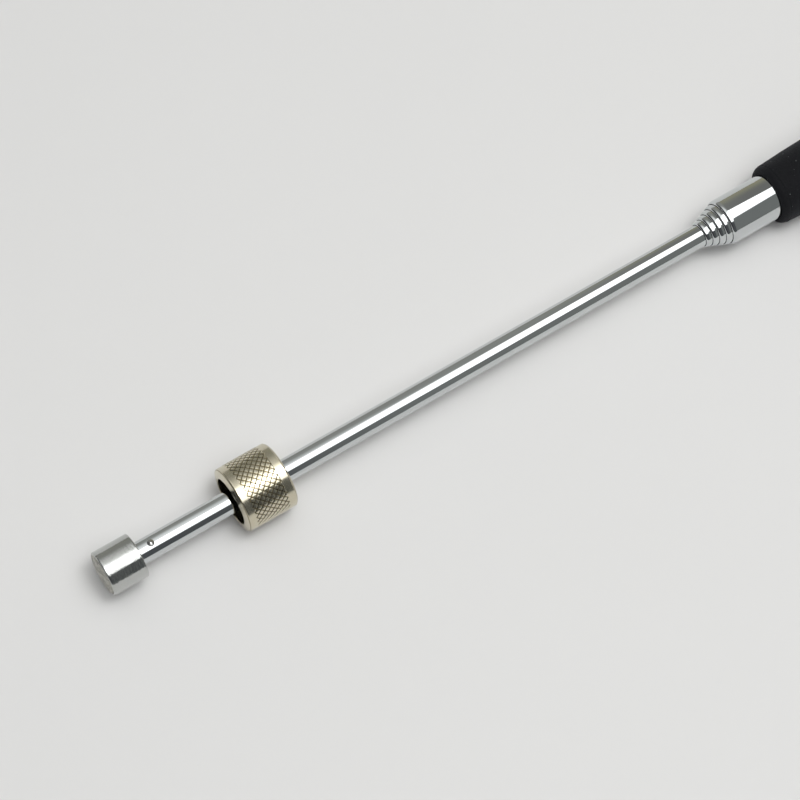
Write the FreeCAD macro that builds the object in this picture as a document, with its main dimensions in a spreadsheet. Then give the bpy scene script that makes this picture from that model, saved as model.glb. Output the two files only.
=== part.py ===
"""Telescoping magnetic pickup tool, as a parametric document in millimetres.

The tool's axis is X. The magnet's working face is at x = 0 and faces -X, the handle runs towards +X, and
+Z is up. The rod is drawn out and the other sections are pushed home.
"""
import FreeCAD
import Part
import Sketcher
import math
import os
import re

# Driving dimensions. Lengths are millimetres and angles are degrees.
SIZES = {
    # tubes: the rod is section 1, and section 6 is the handle tube
    "rod_diameter": 4.8,
    "tube_step": 1.05,
    "tube_wall": 0.3,
    "lip_thickness": 0.4,
    "lip_round": 0.42,
    "lip_clearance": 0.05,
    "bead_height": 0.15,
    "bead_length": 0.8,
    "curl_thickness": 0.4,
    "curl_overlap": 0.15,
    "stop_gap": 0.1,
    # friction springs, two half shells round the rear end of each sliding section
    "spring_length": 9.2,
    "spring_thickness": 0.12,
    "spring_clearance": 0.04,
    "spring_angle": 166.0,
    # magnet head
    "magnet_diameter": 8.6,
    "magnet_length": 4.5,
    "magnet_proud": 0.1,
    "magnet_bevel": 0.1,
    "plate_thickness": 1.2,
    "cup_diameter": 9.4,
    "cup_length": 7.75,
    "cup_rim_round": 0.3,
    "cup_back_bevel": 0.3,
    "spigot_diameter": 3.0,
    "stem_length": 10.0,
    "stem_bevel": 0.4,
    "pin_diameter": 1.0,
    "pin_head_diameter": 1.5,
    "pin_head_height": 0.28,
    "pin_head_round": 0.2,
    "pin_offset": 3.05,
    # shield collar
    "collar_diameter": 14.0,
    "collar_length": 11.4,
    "collar_bore": 10.0,
    "collar_hole": 5.6,
    "collar_rim": 0.4,
    "collar_nose": 0.45,
    "collar_back_bevel": 0.4,
    "collar_setback": 21.1,
    # handle
    "rod_out": 134.5,
    "rod_home": 35.1,
    "ring_step": 1.33,
    "handle_length": 114.7,
    "grip_setback": 12.0,
    "grip_length": 99.5,
    "grip_diameter": 14.8,
    "grip_front_diameter": 12.9,
    "grip_taper": 20.0,
    "grip_flare": 17.0,
    "grip_rear_diameter": 15.45,
    "grip_front_round": 1.3,
    "grip_rear_round": 1.8,
    "plug_depth": 7.0,
    "plug_head_length": 2.6,
    "plug_head_round": 1.8,
}
SECTIONS = 6
TOLERANCE = 1e-4
# the end of the axis that a rim is picked at
FRONT, REAR = min, max

doc = FreeCAD.newDocument("pickup_tool")
sheet = doc.addObject("Spreadsheet::Sheet", "Sizes")
for row, (alias, value) in enumerate(SIZES.items(), 1):
    sheet.set(f"A{row}", alias)
    sheet.set(f"B{row}", str(value))
    sheet.setAlias(f"B{row}", alias)
doc.recompute()


# Expressions over the sheet's cells, written with bare aliases.
PACK = "2 * bead_length + spring_length + 2 * stop_gap"
HEAD_BACK = "magnet_proud + cup_length"
HANDLE_FRONT = f"{HEAD_BACK} + rod_out + {SECTIONS - 2} * ring_step"
HANDLE_REAR = f"{HANDLE_FRONT} + handle_length"


def outer(section):
    """A section's outer radius."""
    return f"(rod_diameter + {section - 1} * tube_step) / 2"


def front(section):
    """Where a section's front end is along the tool."""
    if section == 1:
        return HEAD_BACK
    return f"{HANDLE_FRONT} - {SECTIONS - section} * ring_step"


def home_rear(section):
    """Where the rear end of a section is when everything is pushed home."""
    stops = SECTIONS - 1 - section
    return f"{HANDLE_REAR} - plug_depth - stop_gap - {stops} * (curl_thickness + stop_gap)"


def length(section):
    """A section's length: the rod is also longer by what stays out of its tube when it is home."""
    if section == SECTIONS:
        return "handle_length"
    if section == 1:
        return f"({home_rear(1)}) - ({HEAD_BACK}) - (rod_out - rod_home)"
    return f"({home_rear(section)}) - ({front(section)})"


def bound(expression):
    """The expression with each alias named as a cell of the sheet."""
    return re.sub(r"[a-z][a-z_]+", lambda alias: f"{sheet.Name}.{alias.group()}", expression)


def origin_plane(body, role):
    """One of the body's own origin planes."""
    return next(item for item in body.Origin.OriginFeatures if item.Role == role)


def new_body(label, along="0"):
    """An empty body with its origin on the tool's axis, `along` from the magnet's face."""
    body = doc.addObject("PartDesign::Body", label)
    body.Label = label
    body.setExpression("Placement.Base.x", bound(along))
    return body


def outline_sketch(body, outline):
    """A closed outline of straight lines on the XZ plane, each corner bound to the sheet."""
    sketch = body.newObject("Sketcher::SketchObject", f"{body.Label}_outline")
    sketch.AttachmentSupport = (origin_plane(body, "XZ_Plane"), [""])
    sketch.MapMode = "FlatFace"
    count = len(outline)
    corners = [
        FreeCAD.Vector(20 + 10 * math.cos(turn), 20 + 10 * math.sin(turn), 0)
        for turn in (-2 * math.pi * index / count for index in range(count))
    ]
    for index in range(count):
        sketch.addGeometry(Part.LineSegment(corners[index], corners[(index + 1) % count]), False)
    for index in range(count):
        sketch.addConstraint(Sketcher.Constraint("Coincident", index - 1 if index else count - 1, 2, index, 1))
    for index, place in enumerate(outline):
        for kind, rough, expression in zip(("DistanceX", "DistanceY"), corners[index], place):
            number = sketch.addConstraint(Sketcher.Constraint(kind, -1, 1, index, 1, rough))
            sketch.setExpression(f"Constraints[{number}]", bound(expression))
    return sketch


def revolve(body, outline, angle=None):
    """The outline of (distance along the axis, radius) corners turned about the body's X axis."""
    sketch = outline_sketch(body, outline)
    turned = body.newObject("PartDesign::Revolution", f"{body.Label}_turned")
    turned.Profile = sketch
    turned.ReferenceAxis = (sketch, ["H_Axis"])
    turned.Angle = 360
    if angle:
        turned.Midplane = True
        turned.setExpression("Angle", bound(angle))
    body.Tip = turned
    doc.recompute()
    return turned


def rim(feature, end):
    """The name of the outermost circular edge at one end of the feature's axis."""
    circles = [
        (edge.Curve.Center.x, edge.Curve.Radius, f"Edge{number}")
        for number, edge in enumerate(feature.Shape.Edges, 1)
        if isinstance(edge.Curve, Part.Circle)
    ]
    place = end(x for x, _, _ in circles)
    return max((radius, name) for x, radius, name in circles if abs(x - place) < TOLERANCE)[1]


def soften(feature, kind, end, size):
    """The feature's outer rim at one end with a Fillet or a Chamfer."""
    body = feature.getParentGeoFeatureGroup()
    softened = body.newObject(f"PartDesign::{kind}", f"{body.Label}_{kind}")
    softened.Base = (feature, [rim(feature, end)])
    softened.setExpression("Radius" if kind == "Fillet" else "Size", bound(size))
    body.Tip = softened
    doc.recompute()
    return softened


def cross_drill(feature, along):
    """The feature with the pin's hole right through it, along Z."""
    body = feature.getParentGeoFeatureGroup()
    sketch = body.newObject("Sketcher::SketchObject", f"{body.Label}_pin_circle")
    sketch.AttachmentSupport = (origin_plane(body, "XY_Plane"), [""])
    sketch.MapMode = "FlatFace"
    sketch.addGeometry(Part.Circle(FreeCAD.Vector(5, 0, 0), FreeCAD.Vector(0, 0, 1), 1), False)
    sketch.addConstraint(Sketcher.Constraint("PointOnObject", 0, 3, -1))
    across = sketch.addConstraint(Sketcher.Constraint("DistanceX", -1, 1, 0, 3, 5))
    sketch.setExpression(f"Constraints[{across}]", bound(along))
    size = sketch.addConstraint(Sketcher.Constraint("Diameter", 0, 2))
    sketch.setExpression(f"Constraints[{size}]", bound("pin_diameter"))
    drilled = body.newObject("PartDesign::Pocket", f"{body.Label}_pin_hole")
    drilled.Profile = sketch
    drilled.Type = "ThroughAll"
    drilled.SideType = "Symmetric"
    body.Tip = drilled
    doc.recompute()
    return drilled


def magnet():
    """The disc magnet, standing a little proud of its cup."""
    body = new_body("magnet")
    radius = "magnet_diameter / 2"
    disc = revolve(body, [("0", "0"), ("0", radius), ("magnet_length", radius), ("magnet_length", "0")])
    soften(disc, "Chamfer", FRONT, "magnet_bevel")


def magnet_back_plate():
    """The steel disc behind the magnet, which closes its magnetic circuit."""
    body = new_body("magnet_back_plate", "magnet_length")
    radius = "magnet_diameter / 2"
    revolve(body, [("0", "0"), ("0", radius), ("plate_thickness", radius), ("plate_thickness", "0")])


def magnet_cup():
    """The turned cup round the magnet, with a hole in its floor for the stem's spigot."""
    body = new_body("magnet_cup", "magnet_proud")
    bore = "magnet_diameter / 2"
    skin = "cup_diameter / 2"
    hole = "spigot_diameter / 2"
    floor = "magnet_length + plate_thickness - magnet_proud"
    turned = revolve(
        body,
        [("0", bore), ("0", skin), ("cup_length", skin), ("cup_length", hole), (floor, hole), (floor, bore)],
    )
    rounded = soften(turned, "Fillet", FRONT, "cup_rim_round")
    soften(rounded, "Chamfer", REAR, "cup_back_bevel")


def head_stem():
    """The steel stem: its spigot is riveted into the cup and its body is pressed into the rod."""
    floor = "magnet_length + plate_thickness"
    body = new_body("head_stem", floor)
    shoulder = f"{HEAD_BACK} - ({floor})"
    spigot = "spigot_diameter / 2"
    skin = "rod_diameter / 2 - tube_wall"
    rear = f"{shoulder} + stem_length"
    turned = revolve(
        body,
        [("0", "0"), ("0", spigot), (shoulder, spigot), (shoulder, skin), (rear, skin), (rear, "0")],
    )
    bevelled = soften(turned, "Chamfer", REAR, "stem_bevel")
    cross_drill(bevelled, f"{shoulder} + pin_offset")


def head_pin():
    """The cross pin that holds the stem in the rod, with a low round head at each end."""
    body = new_body("head_pin", f"{HEAD_BACK} + pin_offset")
    body.Placement.Rotation = FreeCAD.Rotation(FreeCAD.Vector(0, 1, 0), -90)
    span = "rod_diameter / 2"
    tip = f"{span} + pin_head_height"
    shank = "pin_diameter / 2"
    head = "pin_head_diameter / 2"
    turned = revolve(
        body,
        [(f"-({tip})", "0"), (f"-({tip})", head), (f"-({span})", head), (f"-({span})", shank),
         (span, shank), (span, head), (tip, head), (tip, "0")],
    )
    lower = soften(turned, "Fillet", FRONT, "pin_head_round")
    soften(lower, "Fillet", REAR, "pin_head_round")


def sliding_rear(section):
    """The corners of a sliding section's rear end: two rolled beads with the springs' seat between."""
    skin = outer(section)
    bead = f"{skin} + bead_height"
    rear = length(section)
    pack = f"{rear} - ({PACK})"
    return [
        (pack, skin), (pack, bead), (f"{pack} + bead_length", bead), (f"{pack} + bead_length", skin),
        (f"{rear} - bead_length", skin), (f"{rear} - bead_length", bead), (rear, bead),
    ]


def rod_tube():
    """The thinnest section, open in front for the stem."""
    body = new_body("rod_tube", front(1))
    skin = outer(1)
    bore = f"{skin} - tube_wall"
    turned = revolve(body, [("0", bore), ("0", skin), *sliding_rear(1), (length(1), bore)])
    cross_drill(turned, "pin_offset")


def section_tube(section):
    """A middle section: its lip turns in round the next one, and its rear end curls in to stop it."""
    body = new_body(f"section_{section}_tube", front(section))
    skin = outer(section)
    bore = f"{skin} - tube_wall"
    mouth = f"{outer(section - 1)} + lip_clearance"
    curl = f"{outer(section - 1)} - curl_overlap"
    rear = length(section)
    turned = revolve(
        body,
        [("0", mouth), ("0", skin), *sliding_rear(section), (rear, curl), (f"{rear} - curl_thickness", curl),
         (f"{rear} - curl_thickness", bore), ("lip_thickness", bore), ("lip_thickness", mouth)],
    )
    soften(turned, "Fillet", FRONT, "lip_round")


def handle_tube():
    """The widest tube, which the grip is pushed onto."""
    body = new_body("handle_tube", front(SECTIONS))
    skin = outer(SECTIONS)
    bore = f"{skin} - tube_wall"
    mouth = f"{outer(SECTIONS - 1)} + lip_clearance"
    turned = revolve(
        body,
        [("0", mouth), ("0", skin), ("handle_length", skin), ("handle_length", bore),
         ("lip_thickness", bore), ("lip_thickness", mouth)],
    )
    soften(turned, "Fillet", FRONT, "lip_round")


def friction_spring(section, side, turn):
    """One half shell of the springs that grip between a section's rear end and the tube round it."""
    start = f"({front(section)}) + ({length(section)}) - bead_length - stop_gap - spring_length"
    body = new_body(f"friction_spring_{section}_{side}", start)
    body.Placement.Rotation = FreeCAD.Rotation(FreeCAD.Vector(1, 0, 0), turn)
    inside = f"{outer(section)} + spring_clearance"
    outside = f"{inside} + spring_thickness"
    revolve(
        body,
        [("0", inside), ("0", outside), ("spring_length", outside), ("spring_length", inside)],
        "spring_angle",
    )


def shield_collar():
    """The cup that slides along the rod and over the head, its open end to the front."""
    body = new_body("shield_collar", f"{HEAD_BACK} + collar_setback")
    skin = "collar_diameter / 2"
    bore = "collar_bore / 2"
    hole = "collar_hole / 2"
    turned = revolve(
        body,
        [("0", bore), ("0", f"{bore} + collar_rim"), ("collar_nose", skin), ("collar_length", skin),
         ("collar_length", hole), (HEAD_BACK, hole), (HEAD_BACK, bore)],
    )
    soften(turned, "Chamfer", REAR, "collar_back_bevel")


def foam_grip():
    """The foam sleeve on the handle tube, narrower towards the front and a little wider at the rear."""
    body = new_body("foam_grip", f"{HANDLE_FRONT} + grip_setback")
    bore = outer(SECTIONS)
    nose = "grip_front_diameter / 2"
    skin = "grip_diameter / 2"
    heel = "grip_rear_diameter / 2"
    turned = revolve(
        body,
        [("0", bore), ("0", nose), ("grip_taper", skin), ("grip_length - grip_flare", skin),
         ("grip_length", heel), ("grip_length", bore)],
    )
    rounded = soften(turned, "Fillet", FRONT, "grip_front_round")
    soften(rounded, "Fillet", REAR, "grip_rear_round")


def end_plug():
    """The plug that closes the handle tube and stops section 5 when it is pushed home."""
    body = new_body("end_plug", f"{HANDLE_REAR} - plug_depth")
    shank = f"{outer(SECTIONS)} - tube_wall"
    head = outer(SECTIONS)
    tip = "plug_depth + plug_head_length"
    turned = revolve(
        body,
        [("0", "0"), ("0", shank), ("plug_depth", shank), ("plug_depth", head), (tip, head), (tip, "0")],
    )
    soften(turned, "Fillet", REAR, "plug_head_round")


def checked_bodies():
    """Every body, once the whole document is known to be sound."""
    doc.recompute()
    failed = [item.Name for item in doc.Objects if {"Invalid", "Error"} & set(item.State)]
    if failed:
        raise RuntimeError(f"objects that did not recompute: {failed}")
    bodies = doc.findObjects("PartDesign::Body")
    for body in bodies:
        if body.Shape.isNull() or not body.Shape.isValid() or len(body.Shape.Solids) != 1:
            raise RuntimeError(f"{body.Label} is not one sound solid")
    return bodies


magnet()
magnet_back_plate()
magnet_cup()
head_stem()
head_pin()
rod_tube()
for section in range(2, SECTIONS):
    section_tube(section)
handle_tube()
for section in range(1, SECTIONS):
    for side, turn in (("top", 0), ("bottom", 180)):
        friction_spring(section, side, turn)
shield_collar()
foam_grip()
end_plug()

os.makedirs("parts", exist_ok=True)
for body in checked_bodies():
    body.Shape.exportStep(f"parts/{body.Label}.step")
    box = body.Shape.BoundBox
    print(f"{body.Label}: x {box.XMin:.3f} to {box.XMax:.3f}, {body.Shape.Volume:.2f} mm3")
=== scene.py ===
"""The looks of the telescoping magnetic pickup tool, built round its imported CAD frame.

The tool's axis is X: the magnet's face is at x = 0 and faces -X, and the handle runs towards +X.
Everything is in metres. Angles round the axis are counted from +Z towards +Y.
"""

import math

import bpy
from mathutils import Euler, Matrix, Vector, noise


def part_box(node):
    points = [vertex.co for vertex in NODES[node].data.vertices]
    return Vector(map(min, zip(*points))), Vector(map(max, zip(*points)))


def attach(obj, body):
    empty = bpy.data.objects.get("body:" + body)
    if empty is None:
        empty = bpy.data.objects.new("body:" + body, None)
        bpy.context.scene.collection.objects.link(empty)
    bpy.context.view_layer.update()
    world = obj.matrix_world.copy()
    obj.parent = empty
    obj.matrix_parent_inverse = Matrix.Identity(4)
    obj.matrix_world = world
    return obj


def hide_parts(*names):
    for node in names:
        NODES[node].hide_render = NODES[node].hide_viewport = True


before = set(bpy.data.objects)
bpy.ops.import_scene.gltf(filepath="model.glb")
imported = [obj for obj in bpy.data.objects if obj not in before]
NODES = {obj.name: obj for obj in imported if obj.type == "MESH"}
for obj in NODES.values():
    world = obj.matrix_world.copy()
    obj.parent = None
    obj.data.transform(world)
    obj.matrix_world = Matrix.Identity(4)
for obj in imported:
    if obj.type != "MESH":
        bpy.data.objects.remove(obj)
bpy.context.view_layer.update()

MM = 0.001
TURNS = 192
SHARP_ANGLE = math.radians(32)


# ---- where things are, read from the frame ----

def span(node):
    """Where a node starts and ends along the tool."""
    low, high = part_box(node)
    return low.x, high.x


def radius(node):
    """A node's outer radius."""
    low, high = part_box(node)
    return (high.y - low.y) / 2


BEAD_HEIGHT = 0.15 * MM      # the rear beads of the sliding tubes, which their boxes take in
WALL = 0.3 * MM
SECTIONS = ["rod_tube", "section_2_tube", "section_3_tube", "section_4_tube", "section_5_tube", "handle_tube"]
BODIES = ["rod", "section_2", "section_3", "section_4", "section_5", "handle"]
SKINS = [radius(node) - BEAD_HEIGHT for node in SECTIONS[:-1]] + [radius("handle_tube")]
HEAD_BACK = span("magnet_cup")[1]


# ---- meshes ----

def turned(name, outline, turns=TURNS, relief=None, closed=True, along_lines=False):
    """A mesh turned about the X axis from (x, radius) points.

    A closed outline makes a ring. relief(row, step, x, radius) gives a point's own radius. With
    along_lines each quad is split along the line that the relief follows.
    """
    vertices, rows = [], []
    for row, (x, r) in enumerate(outline):
        if r == 0:
            rows.append([len(vertices)] * turns)
            vertices.append(Vector((x, 0, 0)))
            continue
        rows.append([len(vertices) + step for step in range(turns)])
        for step in range(turns):
            angle = 2 * math.pi * step / turns
            own = relief(row, step, x, r) if relief else r
            vertices.append(Vector((x, own * math.sin(angle), own * math.cos(angle))))
    heights = [vertex.yz.length for vertex in vertices]
    pairs = list(zip(rows, rows[1:]))
    if closed:
        pairs.append((rows[-1], rows[0]))
    faces = []
    for first, second in pairs:
        for step in range(turns):
            after = (step + 1) % turns
            corners = [first[step], first[after], second[after], second[step]]
            if first[0] == first[1]:
                faces.append(corners[1:])
            elif second[0] == second[1]:
                faces.append(corners[:3])
            elif along_lines:
                faces.extend(split(corners, heights))
            else:
                faces.append(corners)
    mesh = bpy.data.meshes.new(name)
    mesh.from_pydata(vertices, [], faces)
    mesh.shade_smooth()
    mesh.set_sharp_from_angle(angle=SHARP_ANGLE)
    piece = bpy.data.objects.new(name, mesh)
    bpy.context.scene.collection.objects.link(piece)
    return piece


def split(corners, heights):
    """Two triangles that share the quad's more level diagonal, or the lower of two level ones."""
    a, b, c, d = corners
    slope_ac = abs(heights[a] - heights[c])
    slope_bd = abs(heights[b] - heights[d])
    if abs(slope_ac - slope_bd) > 1e-7:
        use_ac = slope_ac < slope_bd
    else:
        use_ac = heights[a] + heights[c] < heights[b] + heights[d]
    return [(a, b, c), (a, c, d)] if use_ac else [(a, b, d), (b, c, d)]


def corner(centre_x, centre_r, across, up, start, end, steps=8):
    """Points of a rounded corner, an arc of an ellipse. Angles are degrees from +X towards +radius."""
    points = []
    for step in range(steps + 1):
        angle = math.radians(start + (end - start) * step / steps)
        points.append((centre_x + across * math.cos(angle), centre_r + up * math.sin(angle)))
    return points


def run(start, end, r, count):
    """Evenly spaced points along a straight cylinder, both ends left out."""
    return [(start + (end - start) * step / count, r) for step in range(1, count)]


# ---- material nodes ----

def principled(name, **sockets):
    """A material and its shader, with the sockets that are the same all over set on the shader."""
    material = bpy.data.materials.new(name)
    material.use_nodes = True
    shader = material.node_tree.nodes["Principled BSDF"]
    for socket, value in sockets.items():
        shader.inputs[socket.replace("_", " ").title().replace("Ior", "IOR")].default_value = value
    return material, shader


def place(tree, stretch):
    """The piece's own coordinates, stretched."""
    source = tree.nodes.new("ShaderNodeTexCoord")
    mapping = tree.nodes.new("ShaderNodeMapping")
    mapping.inputs["Scale"].default_value = stretch
    tree.links.new(source.outputs["Object"], mapping.inputs["Vector"])
    return mapping.outputs["Vector"]


def off_axis(tree):
    """How far a point is from the tool's axis."""
    source = tree.nodes.new("ShaderNodeTexCoord")
    parts = tree.nodes.new("ShaderNodeSeparateXYZ")
    tree.links.new(source.outputs["Object"], parts.inputs["Vector"])
    squares = [maths(tree, "POWER", parts.outputs[axis], 2) for axis in ("Y", "Z")]
    return maths(tree, "SQRT", maths(tree, "ADD", *squares), 0)


def cloud(tree, stretch, detail=3, rough=0.55):
    """Noise with its own stretch: numbers are features per metre along each axis."""
    texture = tree.nodes.new("ShaderNodeTexNoise")
    texture.inputs["Scale"].default_value = 1
    texture.inputs["Detail"].default_value = detail
    texture.inputs["Roughness"].default_value = rough
    tree.links.new(place(tree, stretch), texture.inputs["Vector"])
    return texture.outputs["Fac"]


def spots(tree, pitch, spread):
    """A value that rises from 0 at the middle of each of many scattered cells."""
    texture = tree.nodes.new("ShaderNodeTexVoronoi")
    texture.inputs["Scale"].default_value = 1
    texture.inputs["Randomness"].default_value = 1
    tree.links.new(place(tree, (1 / pitch,) * 3), texture.inputs["Vector"])
    return ranged(tree, texture.outputs["Distance"], 0, spread, 0, 1)


def ranged(tree, value, low, high, to_low, to_high):
    """The value carried smoothly from one range to another."""
    node = tree.nodes.new("ShaderNodeMapRange")
    node.interpolation_type = "SMOOTHSTEP"
    for socket, number in zip(("From Min", "From Max", "To Min", "To Max"), (low, high, to_low, to_high)):
        node.inputs[socket].default_value = number
    tree.links.new(value, node.inputs["Value"])
    return node.outputs["Result"]


def blended(tree, factor, low, high):
    """A colour between two, each a colour or another node's output."""
    node = tree.nodes.new("ShaderNodeMix")
    node.data_type = "RGBA"
    tree.links.new(factor, node.inputs["Factor"])
    for socket, colour in ((node.inputs[6], low), (node.inputs[7], high)):
        if isinstance(colour, tuple):
            socket.default_value = (*colour, 1)
        else:
            tree.links.new(colour, socket)
    return node.outputs[2]


def maths(tree, operation, first, second):
    """A sum or other operation on two values, each a number or another node's output."""
    node = tree.nodes.new("ShaderNodeMath")
    node.operation = operation
    for socket, value in zip(node.inputs, (first, second)):
        if isinstance(value, (int, float)):
            socket.default_value = value
        else:
            tree.links.new(value, socket)
    return node.outputs["Value"]


def raised(tree, shader, *layers):
    """Bumps on the shader's normal, one on another, from (height, distance, strength) layers."""
    normal = None
    for height, distance, strength in layers:
        node = tree.nodes.new("ShaderNodeBump")
        node.inputs["Distance"].default_value = distance
        node.inputs["Strength"].default_value = strength
        tree.links.new(height, node.inputs["Height"])
        if normal:
            tree.links.new(normal, node.inputs["Normal"])
        normal = node.outputs["Normal"]
    tree.links.new(normal, shader.inputs["Normal"])


# ---- materials ----

def chrome_material(name, dark, light, smooth, rubbed):
    """Plated tube: drawing lines along it, faint rubbed rings where the tubes slide, small scuffs."""
    material, shader = principled(name, metallic=1.0)
    tree = material.node_tree
    drawn = cloud(tree, (60, 5200, 5200), detail=2)
    rings = cloud(tree, (2600, 90, 90), detail=2)
    clouds = cloud(tree, (160, 260, 260), detail=3)
    scuffs = ranged(tree, cloud(tree, (900, 700, 700), detail=4, rough=0.7), 0.62, 0.74, 0, 1)
    tree.links.new(blended(tree, clouds, dark, light), shader.inputs["Base Color"])
    even = ranged(tree, clouds, 0.3, 0.7, smooth, rubbed)
    worn = maths(tree, "ADD", even, maths(tree, "MULTIPLY", scuffs, 0.10))
    tree.links.new(worn, shader.inputs["Roughness"])
    raised(tree, shader, (drawn, 0.0006 * MM, 0.5), (rings, 0.0004 * MM, 0.5))
    return material


def turned_material(name, dark, light, line_pitch, depth, low_rough, high_rough, chatter=0.001 * MM):
    """Machined metal: fine lines and short chatter marks round the axis, rougher and smoother bands."""
    material, shader = principled(name, metallic=1.0)
    tree = material.node_tree
    lines = cloud(tree, (1 / line_pitch, 120, 120), detail=3, rough=0.6)
    bands = cloud(tree, (900, 90, 90), detail=2)
    blotches = cloud(tree, (420, 420, 420), detail=3)
    tree.links.new(blended(tree, blotches, dark, light), shader.inputs["Base Color"])
    tree.links.new(ranged(tree, bands, 0.3, 0.7, low_rough, high_rough), shader.inputs["Roughness"])
    raised(tree, shader, (lines, depth, 0.6), (cloud(tree, (4200, 1100, 1100), detail=2), chatter, 0.6))
    return material


def magnet_material():
    """The magnet's ground face: mottled grey-beige, with small sunk pores coloured near-black as painted
    shade, and lighter rubbed patches.
    """
    material, shader = principled("magnet_face", metallic=0.4)
    tree = material.node_tree
    mottle = cloud(tree, (1500, 1500, 1500), detail=5, rough=0.65)
    rubbed = cloud(tree, (380, 380, 380), detail=3)
    pores_and_painted_shade = spots(tree, 0.75 * MM, 0.30)
    skin = blended(tree, ranged(tree, mottle, 0.3, 0.7, 0, 1), (0.15, 0.145, 0.12), (0.74, 0.73, 0.65))
    skin = blended(tree, ranged(tree, rubbed, 0.45, 0.7, 0, 0.7), skin, (0.70, 0.69, 0.63))
    # painted shade: the pores' pits are coloured near-black
    tree.links.new(blended(tree, pores_and_painted_shade, (0.06, 0.06, 0.055), skin), shader.inputs["Base Color"])
    tree.links.new(ranged(tree, mottle, 0.3, 0.7, 0.38, 0.6), shader.inputs["Roughness"])
    raised(tree, shader, (mottle, 0.02 * MM, 0.6), (pores_and_painted_shade, 0.03 * MM, 0.5))
    return material


PAINTED_SHADE_OUTER = 6.93 * MM       # painted shade: between these two radii the collar is coloured dark, which takes in the knurl's hollows and the rounded edges at its ends
PAINTED_SHADE_INNER = 6.69 * MM
PAINTED_SHADE_FADE = 0.12 * MM


def nickel_material():
    """Warm nickel plate over knurling, a little blotchy, with painted shade: a dark colour in the knurl's
    hollows and on the rounded edges at the same depth.
    """
    material, shader = principled("warm_nickel", metallic=1.0)
    tree = material.node_tree
    blotches = cloud(tree, (520, 520, 520), detail=4, rough=0.6)
    grain = cloud(tree, (5200, 5200, 5200), detail=2)
    plate = blended(tree, blotches, (0.575, 0.525, 0.395), (0.685, 0.64, 0.51))
    reach = off_axis(tree)
    # painted shade: these two masks pick out the depth band below the knurl's tops that is coloured dark
    hollow = ranged(tree, reach, PAINTED_SHADE_OUTER - PAINTED_SHADE_FADE, PAINTED_SHADE_OUTER, 1, 0)
    outside = ranged(tree, reach, PAINTED_SHADE_INNER, PAINTED_SHADE_INNER + PAINTED_SHADE_FADE / 2, 0, 1)
    painted_shade = maths(tree, "MULTIPLY", hollow, outside)
    # painted shade: the dark olive colour laid into that depth band
    tree.links.new(blended(tree, painted_shade, plate, (0.27, 0.235, 0.155)), shader.inputs["Base Color"])
    even = ranged(tree, blotches, 0.3, 0.7, 0.10, 0.19)
    rough = maths(tree, "ADD", even, maths(tree, "MULTIPLY", grain, 0.05))
    tree.links.new(rough, shader.inputs["Roughness"])
    raised(tree, shader, (grain, 0.004 * MM, 0.5), (cloud(tree, (7000, 200, 200), detail=2), 0.002 * MM, 0.5))
    return material


def foam_material():
    """Closed-cell foam: near-black, finely pitted, with a few specks of pale dust."""
    material, shader = principled("black_foam", metallic=0.0, specular_ior_level=0.18, sheen_weight=0.05,
                                  sheen_roughness=0.6, sheen_tint=(0.75, 0.8, 0.9, 1))
    tree = material.node_tree
    cells = spots(tree, 0.28 * MM, 0.62)
    pits = cloud(tree, (2600, 2600, 2600), detail=4, rough=0.65)
    tone = cloud(tree, (130, 260, 260), detail=3)
    dust = ranged(tree, cloud(tree, (2100, 2100, 2100), detail=1), 0.75, 0.78, 0, 1)
    skin = blended(tree, tone, (0.0050, 0.0053, 0.0066), (0.0095, 0.0098, 0.0115))
    skin = blended(tree, pits, (0.0040, 0.0042, 0.0054), skin)
    tree.links.new(blended(tree, dust, skin, (0.16, 0.17, 0.17)), shader.inputs["Base Color"])
    tree.links.new(ranged(tree, pits, 0.3, 0.7, 0.72, 0.92), shader.inputs["Roughness"])
    raised(tree, shader, (cells, 0.05 * MM, 0.5), (pits, 0.04 * MM, 0.6))
    return material


def floor_material():
    """Matte off-white board, a little uneven in tone."""
    material, shader = principled("floor_board", specular_ior_level=0.2)
    tree = material.node_tree
    tone = cloud(tree, (9, 9, 9), detail=3)
    fibres = cloud(tree, (900, 900, 900), detail=3)
    board = blended(tree, tone, (0.772, 0.769, 0.762), (0.792, 0.789, 0.782))
    tree.links.new(board, shader.inputs["Base Color"])
    tree.links.new(ranged(tree, fibres, 0.3, 0.7, 0.8, 0.95), shader.inputs["Roughness"])
    raised(tree, shader, (fibres, 0.02 * MM, 0.25))
    return material


chrome = chrome_material("chrome_plate", (0.59, 0.61, 0.615), (0.63, 0.655, 0.66), 0.03, 0.06)
bright_cup = turned_material("turned_cup", (0.49, 0.50, 0.485), (0.56, 0.57, 0.555),
                             0.07 * MM, 0.005 * MM, 0.06, 0.17, chatter=0.075 * MM)
plain_steel = turned_material("plain_steel", (0.42, 0.42, 0.41), (0.55, 0.55, 0.54),
                              0.08 * MM, 0.002 * MM, 0.2, 0.35)
bronze = turned_material("spring_bronze", (0.55, 0.38, 0.20), (0.70, 0.50, 0.29),
                         0.12 * MM, 0.001 * MM, 0.25, 0.4)
magnet_skin = magnet_material()
nickel = nickel_material()
foam = foam_material()


# ---- pieces ----

def finish_piece(piece, body, material, *nodes, slot):
    """Gives a new piece its material and the body it moves with, and hides the CAD nodes it stands for."""
    piece.data.materials.append(material)
    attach(piece, body)
    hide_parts(*nodes)
    return piece


SEAT_LENGTH = 11.0 * MM      # the rear end of a sliding tube: two beads with the springs' seat between
BEAD_LENGTH = 0.8 * MM
LIP = 0.4 * MM
LIP_ROUND = 0.42 * MM
LIP_LENGTH = 0.95 * MM
LIP_CLEARANCE = 0.11 * MM
CURL_LAP = 0.15 * MM
HANDLE_LIP_ROUND = 1.0 * MM


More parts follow.
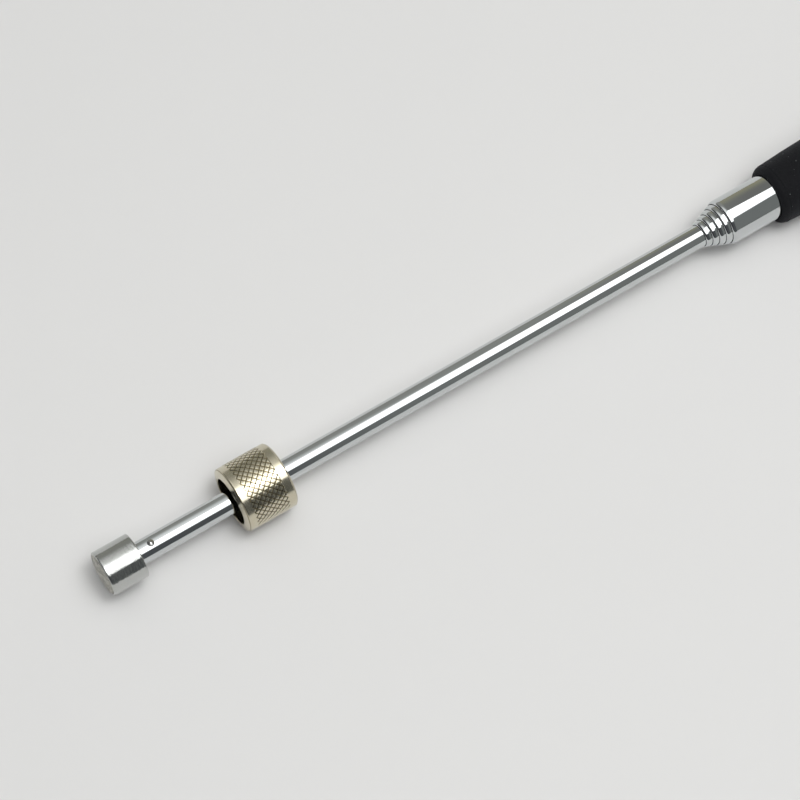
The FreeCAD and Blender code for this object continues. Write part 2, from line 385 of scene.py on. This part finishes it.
def bead(start, skin):
    """The points of a rolled bead that starts at a place on a tube."""
    across = BEAD_LENGTH / 2
    return corner(start + across, skin, across, BEAD_HEIGHT, 180, 0)


def sliding_rear(end, skin):
    """The outside of a sliding tube's rear end, with the bead that stops it and the rear bead."""
    return bead(end - SEAT_LENGTH, skin) + bead(end - BEAD_LENGTH, skin)


def make_rod():
    """The thinnest tube, which carries the head."""
    start, end = span("rod_tube")
    skin = SKINS[0]
    bore = skin - WALL
    edge = 0.06 * MM
    outline = [(start, bore), (start, skin - edge), (start + edge, skin)]
    outline += run(start + edge, end - SEAT_LENGTH, skin, 40)
    outline += sliding_rear(end, skin) + [(end, bore)] + run(end, start, bore, 12)
    finish_piece(turned("bright_rod", outline), "rod", chrome, "rod_tube", slot="chrome")


def make_section(index):
    """A tube with a lip turned in round the next one."""
    node = SECTIONS[index]
    start, end = span(node)
    skin = SKINS[index]
    bore = skin - WALL
    mouth = SKINS[index - 1] + LIP_CLEARANCE
    is_handle = node == "handle_tube"
    across = HANDLE_LIP_ROUND if is_handle else LIP_LENGTH
    outline = [(start, mouth)]
    outline += corner(start + across, skin - LIP_ROUND, across, LIP_ROUND, 180, 90, steps=14)
    if is_handle:
        outline += run(start + across, end, skin, 12) + [(end, skin), (end, bore)]
    else:
        curl = SKINS[index - 1] - CURL_LAP
        outline += run(start + across, end - SEAT_LENGTH, skin, 12) + sliding_rear(end, skin)
        outline += [(end, curl), (end - LIP, curl), (end - LIP, bore)]
    outline += run(outline[-1][0], start + LIP, bore, 8) + [(start + LIP, bore), (start + LIP, mouth)]
    finish_piece(turned(node.replace("tube", "shell"), outline), BODIES[index], chrome, node, slot="chrome")


CUP_RIM_ROUND = 0.3 * MM
CUP_BACK_BEVEL = 0.22 * MM
KNOCK_REACH = 1.2 * MM       # no knock in the cup's rim goes further back than this


def make_cup():
    """The turned cup of the head. Its front rim is rounded and has a few small knocks."""
    start, end = span("magnet_cup")
    skin = radius("magnet_cup")
    bore = radius("magnet")
    floor = span("magnet_back_plate")[1]
    spigot = 1.5 * MM
    rim = CUP_RIM_ROUND
    bevel = CUP_BACK_BEVEL
    outline = [(start + 0.05 * MM, bore), (start, bore + 0.05 * MM)]
    outline += corner(start + rim, skin - rim, rim, rim, 180, 90, steps=10)
    outline += run(start + rim, end - bevel, skin, 16)
    outline += corner(end - bevel, skin - bevel, bevel, bevel, 90, 0, steps=6)
    outline += [(end, spigot), (floor, spigot), (floor, bore)]
    knocks = [(math.radians(64), 0.16, 0.22), (math.radians(31), 0.09, 0.14), (math.radians(-71), 0.08, 0.2),
              (math.radians(-152), 0.14, 0.25), (math.radians(118), 0.10, 0.16)]

    def relief(row, step, x, r):
        if r <= bore or x > start + KNOCK_REACH:
            return r
        angle = 2 * math.pi * step / TURNS
        for place_angle, depth, width in knocks:
            away = math.remainder(angle - place_angle, 2 * math.pi) * skin / MM
            reach = math.exp(-((away / width) ** 2) - ((x - start) / (0.45 * MM)) ** 2)
            r -= depth * MM * reach
        return max(r, bore + 0.02 * MM)

    finish_piece(turned("turned_cup", outline, relief=relief), "rod", bright_cup, "magnet_cup", slot="cup")


def make_magnet():
    """The disc magnet, with the slight unevenness of its ground face and a hairline gap round it."""
    start, end = span("magnet")
    skin = radius("magnet") - 0.07 * MM
    bevel = 0.1 * MM
    rings = 30
    face = [(start, (skin - bevel) * step / rings) for step in range(rings + 1)]
    outline = face + [(start + bevel, skin), (end, skin), (end, 0)]
    piece = turned("magnet_disc", outline, closed=False)
    for vertex in piece.data.vertices:
        if vertex.co.x < start + bevel / 2:
            wave = noise.noise(vertex.co / (0.55 * MM)) + 0.5 * noise.noise(vertex.co / (0.22 * MM))
            vertex.co.x += 0.03 * MM * max(wave, 0)
    finish_piece(piece, "rod", magnet_skin, "magnet", slot="magnet")


def make_pin():
    """The cross pin: a straight shank with a round head at each end."""
    low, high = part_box("head_pin")
    middle = (low + high) / 2
    tip = high.z
    seat = SKINS[0] - 0.03 * MM
    head = (high.y - low.y) / 2
    shank = 0.5 * MM
    height = tip - seat
    dome = [(tip - height * (1 - step / 12) ** 1.5, head * (1 - step / 12)) for step in range(12)]
    outline = [(seat, shank), *dome, (tip, 0)]
    mirrored = [(-x, r) for x, r in reversed(outline)]
    piece = turned("cross_pin", mirrored + outline, turns=64, closed=False)
    piece.data.transform(Matrix.Translation(middle) @ Matrix.Rotation(math.radians(-90), 4, "Y"))
    finish_piece(piece, "rod", plain_steel, "head_pin", slot="steel")


KNURL_DIAMONDS = 33
CELLS_PER_DIAMOND = 16
KNURL_TURNS = KNURL_DIAMONDS * CELLS_PER_DIAMOND
GROOVE_CELLS = 2
GROOVE_DEPTH = 0.18 * MM
KNURL_CROWN = 0.030 * MM
BAND_STEP = 0.05 * MM        # how far the plain bands stand below the knurling
COLLAR_BAND = 1.55 * MM      # the plain band at each end of the knurling
COLLAR_NOSE = 0.45 * MM
COLLAR_RIM = 0.4 * MM
COLLAR_EDGE = 0.22 * MM
COLLAR_BORE = 5.0 * MM
COLLAR_HOLE = 2.8 * MM
COLLAR_BACK_BEVEL = 0.4 * MM


def knurl_depth(row, step):
    """How far below its tops the knurling is: grooves at 45 degrees both ways, low crowned diamonds."""
    depth = 0
    edge = 0
    for line in (row + step, row - step):
        away = abs((line + CELLS_PER_DIAMOND / 2) % CELLS_PER_DIAMOND - CELLS_PER_DIAMOND / 2)
        depth = max(depth, GROOVE_DEPTH * max(0, 1 - away / GROOVE_CELLS))
        edge = max(edge, 1 - away / (CELLS_PER_DIAMOND / 2))
    return max(depth, KNURL_CROWN * edge ** 2)


def make_collar():
    """The knurled shield cup that slides over the head."""
    start, end = span("shield_collar")
    skin = radius("shield_collar")
    band = skin - BAND_STEP
    floor = start + HEAD_BACK
    nose = start + COLLAR_NOSE
    bevel = COLLAR_BACK_BEVEL
    cell = 2 * math.pi * skin / KNURL_TURNS
    first = nose + COLLAR_BAND
    rows = round((end - bevel - COLLAR_BAND - first) / cell)
    mouth = 0.1 * MM

    front = [(start + mouth, COLLAR_BORE), (start, COLLAR_BORE + mouth), (start, COLLAR_BORE + COLLAR_RIM)]
    front += [(nose - COLLAR_EDGE / 3, band - COLLAR_EDGE)]
    front += corner(nose + COLLAR_EDGE, band - COLLAR_EDGE, COLLAR_EDGE, COLLAR_EDGE, 160, 90, steps=6)
    front += run(nose + COLLAR_EDGE, first, band, 5) + [(first - cell / 2, band)]
    knurled = [(first + cell * row, skin) for row in range(rows + 1)]
    last = knurled[-1][0]
    back = [(last + cell / 2, band)] + run(last + cell / 2, end - bevel, band, 5)
    back += [(end - bevel, band), (end, band - bevel), (end, COLLAR_HOLE + mouth), (end - mouth, COLLAR_HOLE)]
    back += [(floor + mouth, COLLAR_HOLE), (floor, COLLAR_HOLE + mouth)]
    back += corner(floor - 0.3 * MM, COLLAR_BORE - 0.3 * MM, 0.3 * MM, 0.3 * MM, 0, 90, steps=4)
    back += run(floor - 0.3 * MM, start + mouth, COLLAR_BORE, 10)

    def relief(row, step, x, r):
        row -= len(front)
        if not 0 <= row <= rows:
            return r
        own = r - knurl_depth(row, step)
        return min(own, band) if row in (0, rows) else own

    outline = front + knurled + back
    piece = turned("knurled_collar", outline, turns=KNURL_TURNS, relief=relief, along_lines=True)
    finish_piece(piece, "collar", nickel, "shield_collar", slot="nickel")


FOAM_STRAIGHT = 7.4 * MM     # the radius of the sleeve's straight part
FOAM_NOSE = 6.45 * MM
FOAM_TAPER = 20 * MM
FOAM_FLARE = 17 * MM         # the length at the rear over which the sleeve widens
FOAM_LIP = 1.3 * MM
FOAM_TAIL = 1.75 * MM
FOAM_BELLY = 0.12            # how far the taper bulges, as a share of its rise
FOAM_WAVE = 0.045 * MM
FOAM_SLANT = 0.25 * MM       # the sleeve's front is cut a little out of square


def make_foam():
    """The foam sleeve: a soft rounded lip, a taper, a wider rear and a skin that is never quite even."""
    start, end = span("foam_grip")
    full = FOAM_STRAIGHT - FOAM_WAVE
    heel = radius("foam_grip") - FOAM_WAVE
    bore = SKINS[-1] + 0.01 * MM
    outline = [(start + 0.25 * MM, bore)]
    outline += corner(start + FOAM_LIP, FOAM_NOSE - FOAM_LIP, FOAM_LIP, FOAM_LIP, 180, 80, steps=14)
    rows = 70
    for step in range(1, rows + 1):
        x = start + FOAM_LIP + (FOAM_TAPER - FOAM_LIP) * step / rows
        share = (x - start) / FOAM_TAPER
        outline.append((x, FOAM_NOSE + (full - FOAM_NOSE) * (share + FOAM_BELLY * math.sin(math.pi * share))))
    outline += run(start + FOAM_TAPER, end - FOAM_FLARE, full, 150)
    rows = 41
    for step in range(rows):
        x = end - FOAM_FLARE + (FOAM_FLARE - FOAM_TAIL) * step / rows
        outline.append((x, full + (heel - full) * step / rows))
    outline += corner(end - FOAM_TAIL, heel - FOAM_TAIL, FOAM_TAIL, FOAM_TAIL, 90, 5, steps=12)
    outline += [(end, bore)]

    def relief(row, step, x, r):
        if r <= bore:
            return r
        angle = 2 * math.pi * step / TURNS
        spot = Vector((x, r * math.sin(angle), r * math.cos(angle)))
        wave = 0.6 * noise.noise(spot / (5.0 * MM)) + 0.4 * noise.noise(spot / (1.1 * MM))
        return r + FOAM_WAVE * wave

    piece = turned("foam_sleeve", outline, relief=relief)
    for vertex in piece.data.vertices:
        fade = max(0, 1 - (vertex.co.x - start) / FOAM_TAPER)
        vertex.co.x += FOAM_SLANT * fade * (1 + vertex.co.y / full)
    finish_piece(piece, "handle", foam, "foam_grip", slot="foam")


def make_plug():
    """The pressed-in end plug with its domed head."""
    start, end = span("end_plug")
    seat = span("handle_tube")[1]
    head = SKINS[-1]
    shank = head - WALL
    dome = 1.8 * MM
    outline = [(start, 0), (start, shank - 0.3 * MM), (start + 0.3 * MM, shank), (seat, shank)]
    outline += corner(seat + 0.15 * MM, head - 0.15 * MM, 0.15 * MM, 0.15 * MM, 180, 90, steps=4)
    outline += corner(end - dome, head - dome, dome, dome, 90, 0, steps=16)
    flat = head - dome
    outline += [(end, flat * (1 - step / 8)) for step in range(1, 9)]
    finish_piece(turned("chrome_plug", outline, closed=False), "handle", chrome, "end_plug", slot="chrome")


def dress(node, material):
    """A better material for a CAD node that stays."""
    data = NODES[node].data
    data.materials.clear()
    data.materials.append(material)


make_rod()
for index in range(1, len(SECTIONS)):
    make_section(index)
make_cup()
make_magnet()
make_pin()
make_collar()
make_foam()
make_plug()
dress("magnet_back_plate", plain_steel)
dress("head_stem", plain_steel)
for section in range(1, len(SECTIONS)):
    for side in ("top", "bottom"):
        dress(f"friction_spring_{section}_{side}", bronze)


# ---- floor, light and camera ----

def make_floor():
    """The pale board that the tool lies on: it touches the grip and the collar."""
    low_grip = radius("foam_grip")
    low_collar = radius("shield_collar")
    x_grip = span("foam_grip")[1] - 1.75 * MM
    x_collar = span("shield_collar")[0] + COLLAR_NOSE
    bpy.ops.mesh.primitive_plane_add(size=FLOOR_WIDTH)
    floor = bpy.context.object
    floor.name = "floor"
    floor.rotation_euler = (0, math.atan((low_grip - low_collar) / (x_grip - x_collar)), 0)
    floor.location = (x_grip, 0, -low_grip)
    floor.data.materials.append(floor_material())


def make_camera():
    """A long lens above the tool's front left, looking down at it."""
    data = bpy.data.cameras.new("camera")
    data.sensor_width = 36
    data.lens = 117.0
    data.clip_start = 0.01
    data.clip_end = 20
    camera = bpy.data.objects.new("camera", data)
    camera.location = (-0.068670, -0.146426, 0.478511)
    camera.rotation_euler = Euler([math.radians(turn) for turn in (22.4745, -4.3163, -32.7434)], "XYZ")
    bpy.context.scene.collection.objects.link(camera)
    bpy.context.scene.camera = camera


def softbox_strength(tree, x, y):
    """The overhead light by place: a flat box of light with cut corners and a hot core.

    Its front edge is sharp. Over the head its back edge melts into a long glow, and over the
    handle it is sharp.
    """
    near_edge = ranged(tree, y, -0.76, -0.72, 0, 1)
    steep = maths(tree, "MULTIPLY", x, 2.0)
    near_corner = ranged(tree, maths(tree, "SUBTRACT", y, steep), -1.72, -1.65, 0, 1)
    far_corner = ranged(tree, maths(tree, "ADD", y, steep), 1.50, 1.54, 1, 0)
    over_handle = ranged(tree, x, 0.20, 0.52, 0, 1)
    head_fade = ranged(tree, y, -0.04, 0.34, 1, 0)
    handle_fade = ranged(tree, y, 0.34, 0.38, 1, 0)
    far_edge = maths(tree, "ADD", maths(tree, "MULTIPLY", maths(tree, "SUBTRACT", 1, over_handle), head_fade),
                     maths(tree, "MULTIPLY", over_handle, handle_fade))
    box = maths(tree, "MULTIPLY", maths(tree, "MULTIPLY", near_edge, near_corner),
                maths(tree, "MULTIPLY", far_corner, far_edge))
    glow = maths(tree, "MULTIPLY", ranged(tree, y, 0.0, 1.85, GLOW, 0), ranged(tree, x, 0.10, 0.48, 1, 0))
    glow = maths(tree, "MULTIPLY", glow, ranged(tree, y, -0.30, 0.15, 0, 1))
    across = maths(tree, "POWER", maths(tree, "SUBTRACT", x, CORE_X), 2)
    along = maths(tree, "POWER", maths(tree, "SUBTRACT", y, CORE_Y), 2)
    from_core = maths(tree, "SQRT", maths(tree, "ADD", across, along), 0)
    level = ranged(tree, from_core, 0.04, CORE_RADIUS, CORE, SOFTBOX)
    return maths(tree, "ADD", maths(tree, "MULTIPLY", box, level), glow)


SOFTBOX = 2.0                # strengths of the flat light, its core and the glow behind it
CORE = 13.6
CORE_X, CORE_Y, CORE_RADIUS = 0.20, -0.17, 0.26
GLOW = 0.95
LIGHT_HEIGHT = 1.0
LIGHT_WIDTH, LIGHT_DEPTH = 1.16, 2.70
FLOOR_WIDTH = 6


def make_softbox():
    """One large area light overhead, shaped by softbox_strength."""
    data = bpy.data.lights.new("softbox", "AREA")
    data.shape = "RECTANGLE"
    data.size = LIGHT_WIDTH
    data.size_y = LIGHT_DEPTH
    data.energy = math.pi * data.size * data.size_y
    data.use_nodes = True
    tree = data.node_tree
    geometry = tree.nodes.new("ShaderNodeNewGeometry")
    parts = tree.nodes.new("ShaderNodeSeparateXYZ")
    tree.links.new(geometry.outputs["Position"], parts.inputs["Vector"])
    strength = softbox_strength(tree, parts.outputs["X"], parts.outputs["Y"])
    tree.links.new(strength, tree.nodes["Emission"].inputs["Strength"])
    light = bpy.data.objects.new("softbox", data)
    light.location = (0.26, 0.57, LIGHT_HEIGHT)
    bpy.context.scene.collection.objects.link(light)


def make_world():
    """A dim room: greenish grey behind, near-black in front and beyond the head, greyer beyond the handle."""
    world = bpy.data.worlds.new("room")
    bpy.context.scene.world = world
    world.use_nodes = True
    tree = world.node_tree
    source = tree.nodes.new("ShaderNodeTexCoord")
    parts = tree.nodes.new("ShaderNodeSeparateXYZ")
    tree.links.new(source.outputs["Generated"], parts.inputs["Vector"])
    towards_back = ranged(tree, parts.outputs["Y"], -0.30, 0.20, 0, 1)
    past_head = ranged(tree, parts.outputs["X"], -0.40, -0.08, 1, 0)
    past_rod = ranged(tree, parts.outputs["X"], 0.17, 0.29, 0, 1)
    past_handle = ranged(tree, parts.outputs["X"], 0.30, 0.42, 0, 1)
    height = ranged(tree, parts.outputs["Z"], 0.0, 0.7, 0, 1)
    near = blended(tree, past_rod, (0.095, 0.10, 0.105), (0.215, 0.225, 0.22))
    behind = blended(tree, height, (0.335, 0.335, 0.305), (0.325, 0.33, 0.315))
    behind_handle = blended(tree, height, (0.37, 0.355, 0.25), (0.205, 0.205, 0.195))
    far = blended(tree, past_handle, behind, behind_handle)
    around = blended(tree, towards_back, near, far)
    around = blended(tree, past_head, around, (0.07, 0.07, 0.075))
    tree.links.new(around, tree.nodes["Background"].inputs["Color"])


make_floor()
make_camera()
make_softbox()
make_world()
bpy.context.scene.view_settings.view_transform = "Standard"
